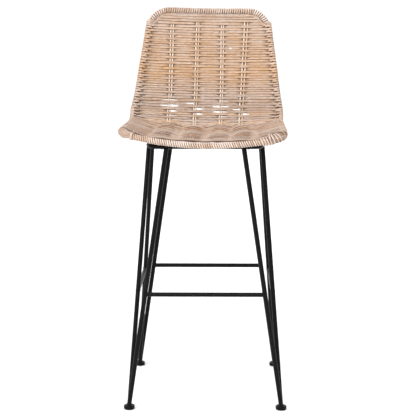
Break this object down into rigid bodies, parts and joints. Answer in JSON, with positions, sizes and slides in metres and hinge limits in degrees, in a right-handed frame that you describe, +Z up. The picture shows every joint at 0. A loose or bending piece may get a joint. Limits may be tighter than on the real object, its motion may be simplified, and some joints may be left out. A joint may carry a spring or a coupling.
{
  "type": "bar stool",
  "caption": "Tall bar stool: a woven rattan bucket seat with a low back on a black steel rod base with V legs and a footrest bar.",
  "frame": {"origin": "on the floor, under the middle of the whole stool's bounding box; the middle of the base is 25 mm in front of it", "axes": "+Z up, the front of the seat and the footrest face -Y, +X to the sitter's left"},
  "size_m": [0.454, 0.5121, 1.0999],
  "materials": {
    "black_steel": "satin black powder coat",
    "glide_plastic": "moulded black plastic",
    "zinc_steel": "black oxide",
    "rattan_pole": "peeled rattan pole",
    "stake_cane": "whitewashed rattan cane",
    "woven_cane": "whitewashed woven rattan cane",
    "binding_cane": "pale wound rattan cane",
    "slat_wood": "planed hardwood"
  },
  "bodies": {
    "root": {"front_rail": "black_steel", "rear_rail": "black_steel", "left_rail": "black_steel", "right_rail": "black_steel", "front_left_end_rod": "black_steel", "front_right_end_rod": "black_steel", "rear_left_end_rod": "black_steel", "rear_right_end_rod": "black_steel", "front_left_side_rod": "black_steel", "front_right_side_rod": "black_steel", "rear_left_side_rod": "black_steel", "rear_right_side_rod": "black_steel", "footrest": "black_steel", "rear_stretcher": "black_steel", "left_stretcher": "black_steel", "right_stretcher": "black_steel", "front_left_foot": "black_steel", "front_right_foot": "black_steel", "rear_left_foot": "black_steel", "rear_right_foot": "black_steel", "front_left_glide": "glide_plastic", "front_right_glide": "glide_plastic", "rear_left_glide": "glide_plastic", "rear_right_glide": "glide_plastic", "front_left_tab": "black_steel", "front_right_tab": "black_steel", "rear_left_tab": "black_steel", "rear_right_tab": "black_steel", "left_slat": "slat_wood", "right_slat": "slat_wood", "seat_bolts": "zinc_steel", "seat_washers": "zinc_steel", "seat_nuts": "zinc_steel", "left_side_pole": "rattan_pole", "right_side_pole": "rattan_pole", "top_rail_pole": "rattan_pole", "front_rim_pole": "rattan_pole", "rear_cross_pole": "rattan_pole", "outer_left_stakes": "stake_cane", "inner_left_stakes": "stake_cane", "inner_right_stakes": "stake_cane", "outer_right_stakes": "stake_cane", "woven_seat": "woven_cane", "woven_bend": "woven_cane", "woven_back": "woven_cane", "front_rim_binding": "binding_cane", "top_rim_binding": "binding_cane"}
  },
  "joints": []
}
